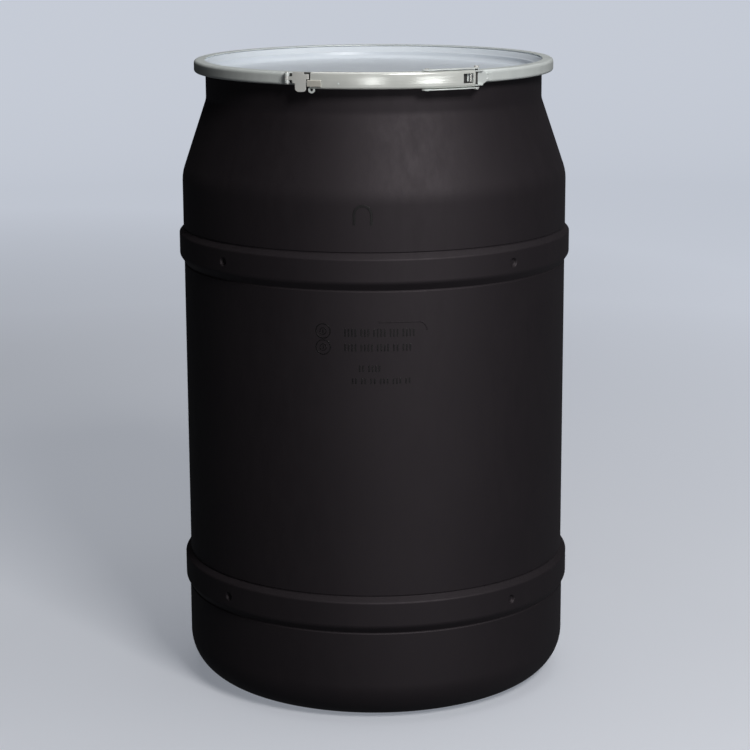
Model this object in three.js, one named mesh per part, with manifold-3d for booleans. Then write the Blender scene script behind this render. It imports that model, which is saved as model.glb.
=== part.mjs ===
// A 55 US gallon open-head polyethylene drum with its lid, gasket and steel lever-lock ring.
// Millimetres, +Z up. The origin is the centre of the base, on the floor.
// -Y is the front, where the lever is.
import * as THREE from "three";
import { mergeVertices } from "three/addons/utils/BufferGeometryUtils.js";
import Module from "manifold-3d";

const wasm = await Module();
wasm.setup();

// ---------- driving dimensions ----------
const GAP = 0.3; // between pieces that touch
const ROUND_STEPS = 48; // facets of the drum, lid and gasket
const RING_STEPS = 72; // facets of the steel ring and the lever

const WALL = 5; // drum wall
const BODY_R = 283; // outer radius of the wall, under the shoulder
const NECK_R = 246.2;
const FOOT = { inner: 196, outer: 227.6, dish: 8 }; // flat foot round a base that is dished upwards
const CORNER_TOP = 59.4; // height at which the base corner meets the wall
const HOOPS = [
  { r: 290.4, below: 284.7, above: 282.7, low: 138.1, lowFull: 147.5, highFull: 183.7, high: 190.2 },
  { r: 289.1, below: 282.6, above: 283, low: 631.1, lowFull: 641.8, highFull: 674.6, high: 682 },
];
const SHOULDER_Z = 760.8; // foot of the cone
const NECK_Z = 868.8; // top of the cone
const DIMPLE = { ball: 7, depth: 2.4, turn: -2.6, count: 4 };

const RING_TOP = 926;
const RING_BOTTOM = 908.6;
const STEEL = 1.5; // thickness of the ring
const RING_R = 262.8; // outer radius of the ring
const RING_LIP_R = 246.8; // inner edge of the ring's top flange
const RING_HOOK_R = 249.5; // inner edge of the flange that hooks under the bead

const BEAD = { r: 257.6, low: RING_BOTTOM + STEEL + GAP, high: 917.5, flat: 246.5 };
const GASKET = { inner: 248, outer: 257.4, low: BEAD.high + GAP, high: 920.8 };
const LID = {
  top: RING_TOP - STEEL - GAP, // upper face of the flange, under the ring
  sheet: 3.1,
  outer: 260.4,
  skirt: 913.5, // lower edge of the outer skirt
  plug: 239.8, // outer radius of the part that drops into the neck
  panel: 906.5, // upper face of the recessed panel
};

// Angles run from the front, -Y, towards +X, in degrees.
const END_B = 29.7; // the ring's end under the lever
const END_A = 30.8; // the ring's other end
const REAR = { from: 198.4, to: 222.4 }; // the stretch opposite the ends, which stays put when the ring opens
const LEVER = {
  from: -18.6,
  to: 31.1,
  flangeFrom: -15.8,
  web: 268,
  sheet: 1.6,
  flange: 261.6,
  low: 904.6,
  high: 928,
};
const FULCRUM = { angle: 30, r: 265.4, pin: 1.5, ear: 2.3 };
const LINK_PIN = { angle: 15.8, r: 265.4, pin: 1.7 };
const ANCHOR = { angle: 31.9, r: 266.2, pin: 1.9, ear: 3 };
const LINK = { sheet: 1.6, half: 4.2, mid: 265.8, from: 15.1, gap: 0.9 };
const BRACKET = { inner: RING_R + GAP, sheet: 1.8, low: 909.6, high: 925.2 };
const LATCH = { pin: 1.6, knuckle: 3.6, angle: -26.2, r: 267.4, low: 911.5, high: 925.5 };
const RIVET_R = 2.2;

// ---------- materials ----------
const plastic = new THREE.MeshStandardMaterial({ color: 0x19181b, roughness: 0.5 });
const lidPlastic = new THREE.MeshStandardMaterial({ color: 0xd3dbe2, roughness: 0.35 });
const rubber = new THREE.MeshStandardMaterial({ color: 0x2a2a2a, roughness: 0.8 });
const ringSteel = new THREE.MeshStandardMaterial({ color: 0xaab0ae, roughness: 0.3, metalness: 0.8 });
const pinSteel = new THREE.MeshStandardMaterial({ color: 0xbfc2c0, roughness: 0.35, metalness: 0.9 });

// ---------- solids ----------
const TURN = 2 * Math.PI;
const rad = THREE.MathUtils.degToRad;
const polar = (r, angle) => [r * Math.sin(rad(angle)), -r * Math.cos(rad(angle))];

// A closed mesh as a manifold-3d solid.
function solid(geometry) {
  const bare = geometry.clone();
  bare.deleteAttribute("normal");
  bare.deleteAttribute("uv");
  const merged = mergeVertices(bare, 1e-4);
  return new wasm.Manifold(
    new wasm.Mesh({
      numProp: 3,
      vertProperties: new Float32Array(merged.attributes.position.array),
      triVerts: new Uint32Array(merged.index.array),
    }),
  );
}

// A solid as geometry again.
function geometryOf(made) {
  const mesh = made.getMesh();
  const geometry = new THREE.BufferGeometry();
  geometry.setAttribute("position", new THREE.BufferAttribute(new Float32Array(mesh.vertProperties), 3));
  geometry.setIndex(new THREE.BufferAttribute(new Uint32Array(mesh.triVerts), 1));
  geometry.computeVertexNormals();
  return geometry;
}

// A profile of [r, z] points turned about Z. A profile off the axis closes on itself.
function turned(profile, steps) {
  const points = profile.map(([r, z]) => new THREE.Vector2(r, z));
  if (profile[0][0] > 0) points.push(points[0].clone());
  return new THREE.LatheGeometry(points, steps).rotateX(Math.PI / 2);
}

// The outline of a ring's sector, from one angle to another, with square or round ends.
function sectorShape(inner, outer, from, to, roundEnds = false) {
  const shape = new THREE.Shape();
  const start = rad(from - 90);
  const end = rad(to - 90);
  const middle = (inner + outer) / 2;
  const half = (outer - inner) / 2;
  shape.absarc(0, 0, outer, start, end, false);
  if (roundEnds) {
    shape.absarc(middle * Math.cos(end), middle * Math.sin(end), half, end, end + Math.PI, false);
  }
  shape.absarc(0, 0, inner, end, start, true);
  if (roundEnds) {
    shape.absarc(middle * Math.cos(start), middle * Math.sin(start), half, start + Math.PI, start + TURN);
  }
  return shape;
}

function raised(shape, low, high, curveSegments = 12) {
  const options = { depth: high - low, bevelEnabled: false, curveSegments };
  return solid(new THREE.ExtrudeGeometry(shape, options).translate(0, 0, low));
}

// A curved plate: a sector of a ring, upright from low to high.
function sector(inner, outer, from, to, low, high, roundEnds = false) {
  const segments = Math.max(2, Math.ceil((to - from) / (360 / RING_STEPS)));
  return raised(sectorShape(inner, outer, from, to, roundEnds), low, high, segments);
}

// An upright round bar at an angle and radius.
function upright(r, at, low, high, segments = 16) {
  const [x, y] = polar(at.r, at.angle);
  const bar = new THREE.CylinderGeometry(r, r, high - low, segments);
  return solid(bar.rotateX(Math.PI / 2).translate(x, y, (low + high) / 2));
}

// A round bar that points away from the drum's axis.
function radial(r, angle, z, inner, outer, segments = 14) {
  const bar = new THREE.CylinderGeometry(r, r, outer - inner, segments);
  return solid(bar.translate(0, -(inner + outer) / 2, z).rotateZ(rad(angle)));
}

// A box that lies on the ring's face at an angle: its width runs along the ring.
function onFace(width, angle, low, high, inner, outer) {
  const box = new THREE.BoxGeometry(width, outer - inner, high - low);
  return solid(box.translate(0, -(inner + outer) / 2, (low + high) / 2).rotateZ(rad(angle)));
}

const joined = (...solids) => solids.reduce((all, next) => all.add(next));
const degrees = (length, r) => THREE.MathUtils.radToDeg(length / r); // an arc's angle from its length

const part = new THREE.Group();
function add(name, made, material) {
  const mesh = new THREE.Mesh(made.isBufferGeometry ? made : geometryOf(made), material);
  mesh.name = name;
  part.add(mesh);
}

// ---------- drum body ----------
// The base corner is a quarter of an ellipse from the foot to the wall, inside or outside.
function corner(inset, steps = 4) {
  return Array.from({ length: steps + 1 }, (_, i) => {
    const turn = (i / steps) * (Math.PI / 2);
    const across = HOOPS[0].below - FOOT.outer;
    return [
      FOOT.outer + (across - inset) * Math.sin(turn),
      CORNER_TOP - (CORNER_TOP - inset) * Math.cos(turn),
    ];
  });
}

// The wall from the base corner up to the shoulder, with the two hoops swelling out of it.
function wallLine(inset) {
  return HOOPS.flatMap((hoop) => [
    [hoop.below - inset, hoop.low],
    [hoop.r - inset, hoop.lowFull],
    [hoop.r - inset, hoop.highFull],
    [hoop.above - inset, hoop.high],
  ]);
}

function dimples() {
  const cuts = [];
  for (const hoop of HOOPS) {
    for (let i = 0; i < DIMPLE.count; i++) {
      const angle = DIMPLE.turn + (360 / DIMPLE.count) * (i + 0.5);
      const ball = new THREE.SphereGeometry(DIMPLE.ball, 10, 8);
      const middle = (hoop.lowFull + hoop.highFull) / 2 - 1;
      ball.translate(0, -(hoop.r + DIMPLE.ball - DIMPLE.depth), middle).rotateZ(rad(angle));
      cuts.push(solid(ball));
    }
  }
  return joined(...cuts);
}

function drumBody() {
  const outside = [
    [0, FOOT.dish],
    [FOOT.inner - 12, FOOT.dish],
    [FOOT.inner, 0],
    ...corner(0),
    ...wallLine(0),
    [BODY_R, SHOULDER_Z],
    [NECK_R, NECK_Z],
    [NECK_R, BEAD.low],
    [BEAD.r, BEAD.low],
    [BEAD.r, BEAD.high],
    [BEAD.flat, BEAD.high],
  ];
  const inside = [
    [NECK_R - WALL, BEAD.high - 6],
    [NECK_R - WALL, NECK_Z - 1.5],
    [BODY_R - WALL, SHOULDER_Z - 1.5],
    ...wallLine(WALL).reverse(),
    ...corner(WALL).reverse(),
    [FOOT.inner, WALL],
    [FOOT.inner - 12, FOOT.dish + WALL],
    [0, FOOT.dish + WALL],
  ];
  return solid(turned([...outside, ...inside], ROUND_STEPS)).subtract(dimples());
}
add("drum_body", drumBody(), plastic);

// ---------- lid and gasket ----------
function lid() {
  const under = LID.top - LID.sheet;
  const bottom = LID.panel - LID.sheet;
  const top = [
    [0, LID.panel + 1.5],
    [95, LID.panel + 1.5],
    [98, LID.panel],
    [231, LID.panel],
    [235.4, LID.panel + 1.6],
    [LID.plug - 3, LID.panel + 5],
    [LID.plug - 1.6, 916],
    [246, LID.top - 0.8],
    [248, LID.top],
    [LID.outer - 1.6, LID.top],
    [LID.outer, LID.top - 1.8],
    [LID.outer, LID.skirt],
    [LID.outer - 2.4, LID.skirt],
    [LID.outer - 2.4, under],
    [247.5, under],
    [LID.plug, 913.8],
    [LID.plug, bottom + 2],
    [LID.plug - 2, bottom],
    [0, bottom],
  ];
  return turned(top.reverse(), ROUND_STEPS);
}
add("lid", lid(), lidPlastic);

const gasketProfile = [
  [GASKET.inner, GASKET.low],
  [GASKET.outer, GASKET.low],
  [GASKET.outer, GASKET.high],
  [GASKET.inner, GASKET.high],
];
add("lid_gasket", turned(gasketProfile, ROUND_STEPS), rubber);

// ---------- steel ring ----------
// One band with a channel section, open to the inside. It is cut in three where it flexes.
const channel = [
  [RING_LIP_R, RING_TOP - STEEL],
  [RING_R - STEEL, RING_TOP - STEEL],
  [RING_R - STEEL, RING_BOTTOM + STEEL],
  [RING_HOOK_R, RING_BOTTOM + STEEL],
  [RING_HOOK_R, RING_BOTTOM],
  [RING_R - 2, RING_BOTTOM],
  [RING_R, RING_BOTTOM + 2],
  [RING_R, RING_TOP - 3],
  [RING_R - 3, RING_TOP],
  [RING_LIP_R, RING_TOP],
];
const wholeBand = solid(turned(channel, RING_STEPS));
const cut = degrees(GAP / 2, RING_R);
function band(from, to, holes = []) {
  const slice = sector(RING_LIP_R - 20, RING_R + 20, from, to, RING_BOTTOM - 5, RING_TOP + 5);
  return holes.reduce((left, hole) => left.subtract(hole), wholeBand.intersect(slice));
}

// A flush rivet through a bracket and the band, and the hole it fills.
function rivet(angle, z, outer) {
  return radial(RIVET_R, angle, z, RING_R - STEEL + 0.2, outer);
}
function rivetHole(angle, z) {
  return radial(RIVET_R + GAP, angle, z, RING_R - STEEL - 2, RING_R + 6);
}
const rivets = {
  fulcrum: [[20.2, 917.4], [24.6, 917.4]],
  anchor: [[36.4, 913.6], [36.4, 921.2]],
  latch: [[-21.6, 914.6], [-21.6, 922.2]],
};
const holes = Object.fromEntries(
  Object.entries(rivets).map(([name, places]) => [name, places.map(([a, z]) => rivetHole(a, z))]),
);

add("ring_band_rear", band(REAR.from + cut, REAR.to - cut), ringSteel);
add("ring_band_left", band(REAR.to - 360 + cut, END_B, [...holes.fulcrum, ...holes.latch]), ringSteel);
add("ring_band_right", band(END_A, REAR.from - cut, holes.anchor), ringSteel);

// ---------- fulcrum bracket, on the end under the lever ----------
const bracketOuter = BRACKET.inner + BRACKET.sheet;
function ear(pivot, from, low, high) {
  const [start, end] = [from, pivot.angle].sort((a, b) => a - b);
  const plate = sector(BRACKET.inner, pivot.r + pivot.ear - 0.1, start, end, low, high);
  const round = upright(pivot.ear, pivot, low, high);
  const hole = upright(pivot.pin + GAP, pivot, low - 1, high + 1);
  return joined(plate, round).subtract(hole);
}
// A curved plate on the band, with an ear at the top and the bottom that runs out to the pivot.
function bracket(pivot, from, to, earFrom, low, high) {
  const base = sector(BRACKET.inner, bracketOuter, from, to, low, high);
  const upper = ear(pivot, earFrom, high - BRACKET.sheet, high);
  const lower = ear(pivot, earFrom, low, low + BRACKET.sheet);
  return joined(base, upper, lower);
}
const drilled = (made, places) => places.reduce((left, hole) => left.subtract(hole), made);

function addRivets(name, outer) {
  rivets[name].forEach(([angle, z], i) => {
    add(`${name}_rivet_${i + 1}`, rivet(angle, z, outer), pinSteel);
  });
}
const fulcrumPlate = bracket(FULCRUM, 18, 28.9, 26.9, BRACKET.low, BRACKET.high);
const fulcrumBracket = drilled(fulcrumPlate, holes.fulcrum);
add("fulcrum_bracket", fulcrumBracket, ringSteel);
add("fulcrum_pin", upright(FULCRUM.pin, FULCRUM, LEVER.low + 0.1, LEVER.high - 0.1), pinSteel);
addRivets("fulcrum", bracketOuter + 0.8);

// ---------- anchor bracket, on the other end ----------
// It is tall beside the pin and tapers to the band's width.
const TALL = { to: 34.4, low: 905.6, high: 926.6 };
const anchorTail = sector(BRACKET.inner, bracketOuter, TALL.to - 1, 38.2, BRACKET.low, BRACKET.high);
const taper = { low: BRACKET.low - 2, high: BRACKET.high + 0.7 };
const anchorTaper = onFace(14, TALL.to + 0.6, taper.low, taper.high, BRACKET.inner, bracketOuter);
const anchorEars = bracket(ANCHOR, 32.5, TALL.to, 33.9, TALL.low, TALL.high);
const anchorPlate = joined(anchorEars, anchorTail, anchorTaper);
const anchorBracket = drilled(anchorPlate, holes.anchor);
add("anchor_bracket", anchorBracket, ringSteel);
addRivets("anchor", bracketOuter + 0.4);

// ---------- lever ----------
const leverOuter = LEVER.web + LEVER.sheet;
const WINDOW = { from: 27.1, to: 30.4, low: 909.7, high: 922.9 };
const GRIP = { from: -19.5, to: -15.3, low: 907.5, high: 916.9, stand: 2.6, wall: 1.6 };
const eyeRivet = { angle: -10.2, z: 912.8, r: 1.6 };
function lever() {
  const web = sector(LEVER.web, leverOuter, LEVER.from, LEVER.to, LEVER.low, LEVER.high);
  const flange = (low) => {
    const high = low + LEVER.sheet;
    const plateTo = FULCRUM.angle - 2.2;
    const plate = sector(LEVER.flange, leverOuter, LEVER.flangeFrom, plateTo, low, high);
    const neck = sector(FULCRUM.r - 3, leverOuter, plateTo - 0.2, FULCRUM.angle, low, high);
    const round = upright(3, FULCRUM, low, high);
    const hole = upright(FULCRUM.pin + GAP, FULCRUM, low - 1, high + 1);
    const linkHole = upright(LINK_PIN.pin + GAP, LINK_PIN, low - 1, high + 1);
    return joined(plate, neck, round).subtract(hole).subtract(linkHole);
  };
  const { from, to, low, high } = WINDOW;
  const window = sector(LEVER.web - 3, leverOuter + 3, from, to, low, high);
  const gripOuter = leverOuter + GRIP.stand;
  const grip = sector(leverOuter - 0.8, gripOuter, GRIP.from, GRIP.to, GRIP.low, GRIP.high);
  const gripHollow = sector(
    leverOuter - 3,
    gripOuter - GRIP.wall,
    GRIP.from - 0.5,
    GRIP.to - 0.5,
    GRIP.low + GRIP.wall,
    GRIP.high - GRIP.wall,
  );
  const seat = eyeRivet.r + GAP;
  const rivetSeat = radial(seat, eyeRivet.angle, eyeRivet.z, LEVER.web - 5, leverOuter + 5);
  return joined(web, flange(LEVER.low), flange(LEVER.high - LEVER.sheet), grip)
    .subtract(window)
    .subtract(gripHollow)
    .subtract(rivetSeat);
}
add("lever", lever(), ringSteel);
add("link_pin", upright(LINK_PIN.pin, LINK_PIN, LEVER.low + 0.1, LEVER.high - 0.1), pinSteel);

// The eye for a wire seal: a strip riveted inside the lever's free end, with an eye that hangs below it.
const EYE = { angle: -18.4, z: 903.6, r: 5, hole: 2.2, sheet: 1.5, stem: 5.6 };
const EYE_STRIP = { to: -8.8, low: 909.2, high: 916.6 };
function sealEye() {
  const inner = LEVER.web - GAP - EYE.sheet;
  const outer = LEVER.web - GAP;
  const strip = sector(inner, outer, EYE.angle, EYE_STRIP.to, EYE_STRIP.low, EYE_STRIP.high);
  const stem = onFace(EYE.stem, EYE.angle + 0.4, EYE.z + 3, 912, inner, outer - 0.1);
  const eye = radial(EYE.r, EYE.angle, EYE.z, inner, outer - 0.1, 24);
  const hole = radial(EYE.hole, EYE.angle, EYE.z, inner - 3, outer + 3, 16);
  const rivetSeat = radial(eyeRivet.r + GAP, eyeRivet.angle, eyeRivet.z, inner - 3, outer + 3);
  return joined(strip, stem, eye).subtract(hole).subtract(rivetSeat);
}
add("seal_eye", sealEye(), ringSteel);
function eyeRivetSolid() {
  const shank = radial(eyeRivet.r, eyeRivet.angle, eyeRivet.z, LEVER.web - 1.7, leverOuter + 1);
  const head = radial(2.8, eyeRivet.angle, eyeRivet.z, leverOuter + GAP, leverOuter + 1.2);
  return joined(shank, head);
}
add("seal_eye_rivet", eyeRivetSolid(), pinSteel);

// ---------- links, above and below the lever ----------
const LINK_RIVET = { r: 2, head: 3.1 };
function link(low) {
  const high = low + LINK.sheet;
  const [inner, outer] = [LINK.mid - LINK.half, LINK.mid + LINK.half];
  const strap = sector(inner, outer, LINK.from, ANCHOR.angle, low, high, true);
  const pinHole = upright(ANCHOR.pin + GAP, ANCHOR, low - 1, high + 1);
  const leverHole = upright(LINK_RIVET.r + GAP, LINK_PIN, low - 1, high + 1);
  return strap.subtract(pinHole).subtract(leverHole);
}
const upperLow = LEVER.high + LINK.gap;
const lowerLow = LEVER.low - LINK.gap - LINK.sheet;
add("link_upper", link(upperLow), ringSteel);
add("link_lower", link(lowerLow), ringSteel);

// The rivet heads at the lever's end of the links stay clear of the pin inside the lever.
function linkRivet(stubLow, stubHigh, headLow, headHigh) {
  const stub = upright(LINK_RIVET.r, LINK_PIN, stubLow, stubHigh);
  return joined(stub, upright(LINK_RIVET.head, LINK_PIN, headLow, headHigh));
}
const upperTop = upperLow + LINK.sheet;
const lowerTop = lowerLow + LINK.sheet;
const upperRivet = linkRivet(upperLow, upperTop + 1, upperTop + GAP, upperTop + 1.3);
const lowerRivet = linkRivet(lowerLow - 1, lowerTop, lowerLow - 1.3, lowerLow - GAP);
add("link_rivet_upper", upperRivet, pinSteel);
add("link_rivet_lower", lowerRivet, pinSteel);

function anchorPin() {
  const shank = upright(ANCHOR.pin, ANCHOR, lowerLow - 1, upperTop + 1);
  const head = upright(3.4, ANCHOR, upperTop + GAP, upperTop + 2.4);
  const foot = upright(3.2, ANCHOR, lowerLow - 1.5, lowerLow - GAP);
  return joined(shank, head, foot);
}
add("anchor_pin", anchorPin(), pinSteel);

// ---------- latch at the lever's free end ----------
const knuckleThird = (LATCH.high - LATCH.low) / 3;
const middleLow = LATCH.low + knuckleThird;
const middleHigh = LATCH.high - knuckleThird;
const knuckle = (low, high, room = 0) => upright(LATCH.knuckle + room, LATCH, low, high, 20);
const latchBore = upright(LATCH.pin + GAP, LATCH, LATCH.low - 2, LATCH.high + 2);

// The leaf on the band, with the hinge's outer knuckles and room for the latch's own to turn.
const LEAF = { from: -26.9, to: -20.4, low: 912, high: 925, sheet: 1.4 };
const LEAF_END = { from: -22.6, to: -18.2, low: 915.5, high: 926.8 };
function latchBase() {
  const inner = RING_R + GAP;
  const outer = inner + LEAF.sheet;
  const leaf = sector(inner, outer, LEAF.from, LEAF.to, LEAF.low, LEAF.high);
  const end = sector(inner, outer, LEAF_END.from, LEAF_END.to, LEAF_END.low, LEAF_END.high);
  const lowerKnuckle = knuckle(LATCH.low, middleLow - GAP);
  const upperKnuckle = knuckle(middleHigh + GAP, LATCH.high);
  const relief = knuckle(middleLow - GAP, middleHigh + GAP, GAP);
  const made = joined(leaf, end, lowerKnuckle, upperKnuckle).subtract(latchBore);
  return drilled(made.subtract(relief), holes.latch);
}
add("latch_base", latchBase(), ringSteel);
addRivets("latch", RING_R + GAP + LEAF.sheet + 0.2);

// The plate laps the lever's end, and its tab hangs below for the thumb.
const PLATE = { from: -24.3, upperTo: -19.1, lowerTo: -19.95, low: 911.9, step: 917.6, high: 927.2 };
const TAB = { angle: -21.7, half: 8.2, low: 900.4, corner: 4.5 };
const NOTCH = { angle: -19.85, width: 7, low: 924.6 };
function latchTab(inner) {
  const outline = new THREE.Shape();
  const bend = TAB.low + TAB.corner;
  const across = TAB.half - TAB.corner;
  outline.moveTo(-TAB.half, PLATE.low + 1);
  outline.lineTo(-TAB.half, bend);
  outline.absarc(-across, bend, TAB.corner, Math.PI, 1.5 * Math.PI, false);
  outline.absarc(across, bend, TAB.corner, 1.5 * Math.PI, TURN, false);
  outline.lineTo(TAB.half, PLATE.low + 1);
  const options = { depth: LEVER.sheet, bevelEnabled: false, curveSegments: 5 };
  const tab = new THREE.ExtrudeGeometry(outline, options);
  return solid(tab.rotateX(Math.PI / 2).translate(0, -inner - 0.05, 0).rotateZ(rad(TAB.angle)));
}
function latch() {
  const [inner, outer] = [LEVER.web, leverOuter];
  const upperPlate = sector(inner, outer, PLATE.from, PLATE.upperTo, PLATE.step, PLATE.high);
  const lowerPlate = sector(inner, outer, PLATE.from, PLATE.lowerTo, PLATE.low, PLATE.step + 0.4);
  const arm = sector(inner, outer, LATCH.angle, PLATE.from + 0.3, middleLow, middleHigh);
  const notch = onFace(NOTCH.width, NOTCH.angle, NOTCH.low, PLATE.high + 3, inner - 2, outer + 2);
  return joined(upperPlate, lowerPlate, arm, knuckle(middleLow, middleHigh), latchTab(inner))
    .subtract(latchBore)
    .subtract(notch);
}
add("latch", latch(), ringSteel);

function latchPin() {
  const shank = upright(LATCH.pin, LATCH, LATCH.low - 1, LATCH.high + 1);
  const head = upright(2.6, LATCH, LATCH.high + GAP, LATCH.high + 1.4);
  const foot = upright(2.6, LATCH, LATCH.low - 1.4, LATCH.low - GAP);
  return joined(shank, head, foot);
}
add("latch_pin", latchPin(), pinSteel);

export default part;
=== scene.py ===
"""The looks of an open-head plastic drum with its lid and lever-lock ring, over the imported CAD."""
import math
import random

import bmesh
import bpy
from mathutils import Matrix, Vector


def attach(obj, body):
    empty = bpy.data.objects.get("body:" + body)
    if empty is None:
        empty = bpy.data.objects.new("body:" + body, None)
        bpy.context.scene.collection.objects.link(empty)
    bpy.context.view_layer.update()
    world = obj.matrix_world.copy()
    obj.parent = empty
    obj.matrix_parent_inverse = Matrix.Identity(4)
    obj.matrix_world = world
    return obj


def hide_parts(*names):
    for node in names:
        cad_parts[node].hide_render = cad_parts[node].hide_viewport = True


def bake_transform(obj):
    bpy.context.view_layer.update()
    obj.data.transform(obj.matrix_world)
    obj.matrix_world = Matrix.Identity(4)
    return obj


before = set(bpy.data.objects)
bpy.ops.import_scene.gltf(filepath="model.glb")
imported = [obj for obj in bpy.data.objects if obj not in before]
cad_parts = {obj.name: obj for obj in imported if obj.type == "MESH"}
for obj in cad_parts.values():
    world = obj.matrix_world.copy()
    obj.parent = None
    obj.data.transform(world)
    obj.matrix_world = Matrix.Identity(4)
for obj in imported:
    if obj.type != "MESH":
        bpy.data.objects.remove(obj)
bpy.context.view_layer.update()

MM = 0.001

# ---------- sizes in mm, as in the CAD ----------
LOWER_HOOP = {
    "r": 290.4, "low": 138.1, "low_full": 147.5, "high_full": 183.7, "high": 190.2,
    "below": 284.7, "above": 282.7,
}
UPPER_HOOP = {
    "r": 289.1, "low": 631.1, "low_full": 641.8, "high_full": 674.6, "high": 682.0,
    "below": 282.6, "above": 283.0,
}
INSIDE_HOOPS = ((UPPER_HOOP, 277.8, 284.0, 277.7), (LOWER_HOOP, 277.7, 285.2, 279.7))
WALL, WALL_R = 5.0, 282.65
FOOT_INNER, FOOT_OUTER, DISH = 196.0, 227.6, 8.0
CORNER_TOP = 59.4
SHOULDER_R, SHOULDER_Z, NECK_Z, NECK_R = 283.0, 760.8, 868.8, 246.2
RING_TOP, RING_BOTTOM, RING_R, STEEL = 926.0, 908.6, 262.8, 1.5
RING_LIP_R, RING_HOOK_R = 246.8, 249.5
BEAD_R, BEAD_LOW, BEAD_HIGH = 257.6, 910.4, 917.5
LID_TOP, LID_PANEL, LID_OUTER, LID_PLUG, LID_SHEET = 924.2, 906.5, 260.4, 239.8, 3.1
END_B, END_A, REAR = 29.7, 30.8, 210.4
LEVER_R, LEVER_SHEET, LEVER_LOW, LEVER_HIGH = 268.0, 1.6, 904.6, 928.0
FULCRUM, LINK_PIN, ANCHOR, LATCH = (265.4, 30.0), (265.4, 15.8), (266.2, 31.9), (267.4, -26.2)
LATCH_LOW, LATCH_HIGH = 911.5, 925.5
LATCH_FROM, LATCH_TO = -24.3, -19.1
UPPER_LINK, LOWER_LINK, LINK_SHEET = 928.9, 902.1, 1.6
LINK_MID, LINK_HALF, LINK_FROM = 265.8, 4.2, 15.1
LEVER_FROM, LEVER_TO, FLANGE_FROM, FLANGE_TO, FLANGE_R = -18.6, 31.1, -15.8, 28.4, 261.8
WINDOW_FROM, WINDOW_TO, WINDOW_LOW, WINDOW_HIGH = 27.1, 30.4, 909.7, 922.9
GRIP_FROM, GRIP_TO, GRIP_LOW, GRIP_HIGH, GRIP_R = -19.5, -15.3, 908.1, 916.4, 271.1
EYE_ANGLE, EYE_Z, EYE_R, EYE_HOLE, EYE_SHEET = -18.4, 903.6, 5.0, 2.2, 1.5
STRIP_TO, STRIP_LOW, STRIP_HIGH = -8.8, 909.6, 916.4
EYE_RIVET_ANGLE, EYE_RIVET_Z = -10.2, 912.8


# ---------- camera ----------
def make_camera():
    data = bpy.data.cameras.new("camera")
    data.lens = 108.1
    data.sensor_width = 36
    camera = bpy.data.objects.new("camera", data)
    bpy.context.scene.collection.objects.link(camera)
    tilt, roll = math.radians(90 - 12.666), math.radians(-0.27)
    turn = Matrix.Rotation(tilt, 4, "X") @ Matrix.Rotation(roll, 4, "Z")
    camera.matrix_world = Matrix.Translation((0, -3.3218, 1.1958)) @ turn
    bpy.context.scene.camera = camera


make_camera()


# ---------- materials ----------
def new_material(name):
    material = bpy.data.materials.new(name)
    material.use_nodes = True
    shader = material.node_tree.nodes["Principled BSDF"]
    return material, material.node_tree, shader


def noise(tree, scale, detail=2.0, stretch=(1, 1, 1), rough=0.5):
    """A noise in the object's own coordinates, stretched along an axis where stretch is small."""
    place = tree.nodes.new("ShaderNodeTexCoord")
    mapping = tree.nodes.new("ShaderNodeMapping")
    mapping.inputs["Scale"].default_value = stretch
    texture = tree.nodes.new("ShaderNodeTexNoise")
    texture.inputs["Scale"].default_value = scale
    texture.inputs["Detail"].default_value = detail
    texture.inputs["Roughness"].default_value = rough
    tree.links.new(place.outputs["Object"], mapping.inputs["Vector"])
    tree.links.new(mapping.outputs["Vector"], texture.inputs["Vector"])
    return texture.outputs["Fac"]


def ramp(tree, value, low, high, out_low, out_high):
    node = tree.nodes.new("ShaderNodeMapRange")
    node.inputs["From Min"].default_value = low
    node.inputs["From Max"].default_value = high
    node.inputs["To Min"].default_value = out_low
    node.inputs["To Max"].default_value = out_high
    tree.links.new(value, node.inputs["Value"])
    return node.outputs["Result"]


def tint(tree, value, colour_low, colour_high):
    mix = tree.nodes.new("ShaderNodeMix")
    mix.data_type = "RGBA"
    mix.inputs["A"].default_value = (*colour_low, 1)
    mix.inputs["B"].default_value = (*colour_high, 1)
    tree.links.new(value, mix.inputs["Factor"])
    return mix.outputs["Result"]


def distance(tree, place, point):
    """How far a place is from a fixed point."""
    node = tree.nodes.new("ShaderNodeVectorMath")
    node.operation = "DISTANCE"
    node.inputs[1].default_value = point
    tree.links.new(place, node.inputs[0])
    return node.outputs["Value"]


def math_node(tree, operation, first, second):
    node = tree.nodes.new("ShaderNodeMath")
    node.operation = operation
    tree.links.new(first, node.inputs[0])
    tree.links.new(second, node.inputs[1])
    return node.outputs["Value"]


def bump(tree, height, strength, distance, onto=None):
    node = tree.nodes.new("ShaderNodeBump")
    node.inputs["Strength"].default_value = strength
    node.inputs["Distance"].default_value = distance
    tree.links.new(height, node.inputs["Height"])
    if onto:
        tree.links.new(onto, node.inputs["Normal"])
    return node.outputs["Normal"]


def black_plastic():
    """Blow-moulded polyethylene: satin, with a fine pebble and faint flow marks and scuffs."""
    material, tree, shader = new_material("drum_black_polyethylene")
    broad = noise(tree, 7, 3)
    fine = noise(tree, 620, 2)
    flow = noise(tree, 26, 3, (1, 1, 0.16))
    scuffs = noise(tree, 60, 5, (1, 1, 0.35), 0.7)
    patches = ramp(tree, broad, 0.35, 0.65, 0, 1)
    colour = tint(tree, patches, (0.0068, 0.0050, 0.0066), (0.0086, 0.0065, 0.0082))
    tree.links.new(colour, shader.inputs["Base Color"])
    tree.links.new(ramp(tree, scuffs, 0.35, 0.75, 0.62, 0.70), shader.inputs["Roughness"])
    pebble = bump(tree, fine, 0.16, 0.0004)
    tree.links.new(bump(tree, flow, 0.05, 0.0012, pebble), shader.inputs["Normal"])
    shader.inputs["Specular IOR Level"].default_value = 0.62
    shader.inputs["Specular Tint"].default_value = (1, 0.90, 0.98, 1)
    return material


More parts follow.
